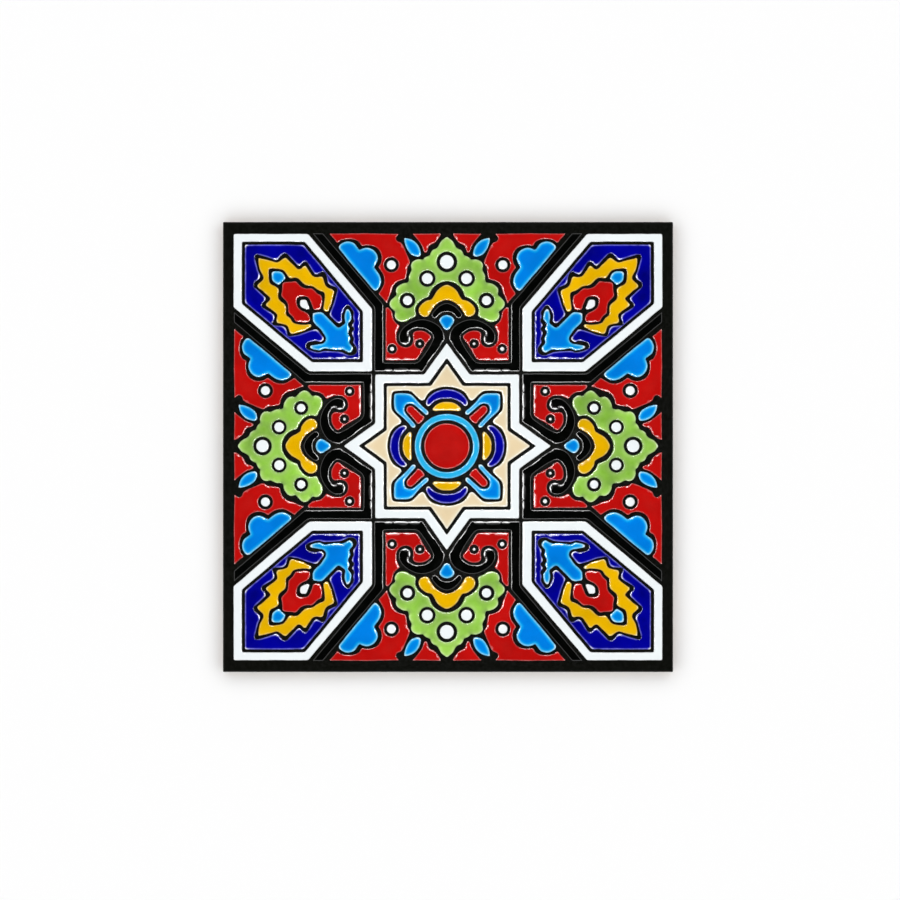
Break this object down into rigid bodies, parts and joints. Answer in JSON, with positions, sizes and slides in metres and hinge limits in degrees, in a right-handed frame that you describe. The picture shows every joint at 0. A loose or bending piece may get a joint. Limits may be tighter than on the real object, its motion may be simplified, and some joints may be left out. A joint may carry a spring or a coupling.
{
  "type": "haft rang tile",
  "caption": "Square glazed ceramic wall tile with a symmetrical star, medallion and leaf pattern in bright glazes divided by black lines.",
  "frame": {"origin": "centre of the plain back face, on the floor when the tile lies face up", "axes": "+Z out of the glazed face, X and Y along the tile's sides"},
  "size_m": [0.2, 0.2, 0.009],
  "materials": {
    "glaze_cobalt": "glossy cobalt blue glaze, lighter where it thins at its edges",
    "glaze_white": "glossy opaque white glaze",
    "glaze_azure": "glossy azure blue glaze, pale at its edges",
    "glaze_red": "glossy red glaze",
    "glaze_green": "glossy leaf green glaze, pale at its edges",
    "glaze_yellow": "glossy warm yellow glaze",
    "glaze_sand": "glossy sand glaze with cream edges",
    "glaze_black": "glossy black glaze",
    "line_black": "smooth flat black between and around the glazes",
    "biscuit": "bare fired body, pale buff and slightly grainy"
  },
  "bodies": {
    "root": {"haft_rang_tile": "glaze_cobalt"}
  },
  "joints": []
}
